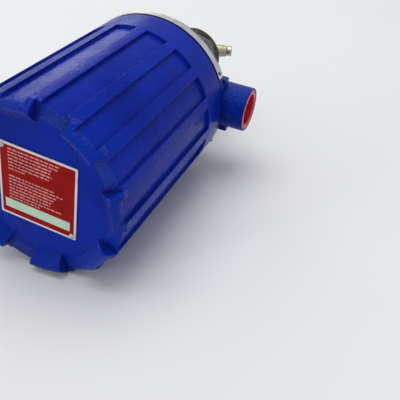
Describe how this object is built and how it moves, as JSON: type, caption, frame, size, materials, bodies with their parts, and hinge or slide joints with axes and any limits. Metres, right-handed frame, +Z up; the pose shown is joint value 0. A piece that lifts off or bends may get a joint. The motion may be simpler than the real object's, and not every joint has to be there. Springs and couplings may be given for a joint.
{
  "type": "vane flow switch",
  "caption": "Explosion-proof vane-operated flow switch: ribbed screw-on cap, banded cast base with two conduit hubs, hexagon pipe bushing and swinging actuator arm.",
  "frame": {"origin": "centre of the bounding box's footprint, on the surface the device lies on", "axes": "+Y along the stem axis from the cap towards the pipe bushing, +Z up, +X along the conduit hubs (turned 6.2 degrees down)"},
  "size_m": [0.1954, 0.3357, 0.1512],
  "materials": {
    "blue_paint": "gloss enamel on rough casting",
    "plate_red": "printed metal plate",
    "band_metal": "bright foil band",
    "steel": "bright",
    "dark_steel": "dark",
    "stainless": "turned",
    "spring_steel": "bright wire",
    "plated_steel": "dull dark plating",
    "olive_zinc": "olive chromate",
    "zinc": "zinc plate",
    "green_zinc": "green zinc",
    "brass": "turned",
    "magnet": "sintered",
    "rubber": "matt",
    "black_plastic": "moulded",
    "white_plastic": "moulded",
    "red_plastic": "translucent moulding",
    "red_insulation": "extruded",
    "black_insulation": "extruded"
  },
  "bodies": {
    "base": {"housing_base": "blue_paint", "name_band_upper": "band_metal", "name_band_lower": "band_metal", "band_rivet_1": "dark_steel", "band_rivet_2": "dark_steel", "band_rivet_3": "dark_steel", "band_rivet_4": "dark_steel", "cover_o_ring": "rubber", "terminal_block": "black_plastic", "terminal_screw_1": "brass", "terminal_screw_2": "brass", "terminal_screw_3": "brass", "ground_screw": "green_zinc", "mounting_bushing": "plated_steel", "base_lock_nut": "steel", "tube_gasket": "rubber", "enclosing_tube": "stainless", "range_spring": "spring_steel", "linkage_yoke": "plated_steel", "pivot_pin": "stainless", "pin_retaining_ring": "spring_steel", "switch_bracket": "zinc", "bracket_clamp_screw": "steel", "magnet_pin": "steel", "bias_stud": "steel", "bias_nut": "brass", "bias_spring": "spring_steel", "micro_switch": "black_plastic", "switch_screw_1": "steel", "switch_screw_2": "steel", "lead_wire_1": "red_insulation", "lead_wire_2": "black_insulation"},
    "cover": {"housing_cover": "blue_paint", "instruction_plate": "plate_red", "plate_screw_1": "steel", "plate_screw_2": "steel"},
    "plug_right": {"conduit_plug_right": "red_plastic"},
    "plug_left": {"conduit_plug_left": "red_plastic"},
    "arm": {"vane_arm": "olive_zinc", "vane_screw": "stainless"},
    "stem": {"actuator_stem": "stainless", "attraction_sleeve": "steel", "stem_nut_lower": "steel", "stem_nut_upper": "steel"},
    "lever": {"magnet_arm": "zinc", "magnet": "magnet", "magnet_screw": "steel"},
    "plunger": {"switch_plunger": "white_plastic"}
  },
  "joints": [
    {"name": "cover_draw_off", "type": "slide", "parent": "base", "child": "cover", "axis": [0, -1, 0], "range_m": [0, 0.2]},
    {"name": "plug_right_pull", "type": "slide", "parent": "base", "child": "plug_right", "axis": [0.9942, 0, -0.108], "range_m": [0, 0.03]},
    {"name": "plug_left_pull", "type": "slide", "parent": "base", "child": "plug_left", "axis": [-0.9942, 0, 0.108], "range_m": [0, 0.03]},
    {"name": "arm_swing", "type": "hinge", "parent": "base", "child": "arm", "pos_m": [0, 0.1535, 0.0756], "axis": [0, 0, 1], "range_deg": [0, 75], "deforming": ["range_spring", "bias_spring"]},
    {"name": "stem_slide", "type": "slide", "parent": "base", "child": "stem", "axis": [0, 1, 0], "range_m": [0, 0.0061]},
    {"name": "lever_tilt", "type": "hinge", "parent": "base", "child": "lever", "pos_m": [0, -0.0245, 0.1036], "axis": [-1, 0, 0], "range_deg": [0, 4.1]},
    {"name": "plunger_press", "type": "slide", "parent": "base", "child": "plunger", "axis": [0, 0, 1], "range_m": [0, 0.0012]}
  ],
  "couplings": [
    {"joint": "stem_slide", "follows": "arm_swing", "m_per_rad": 0.0045836},
    {"joint": "lever_tilt", "follows": "arm_swing", "ratio": 0.053333},
    {"joint": "plunger_press", "follows": "arm_swing", "m_per_rad": 0.00087853}
  ]
}
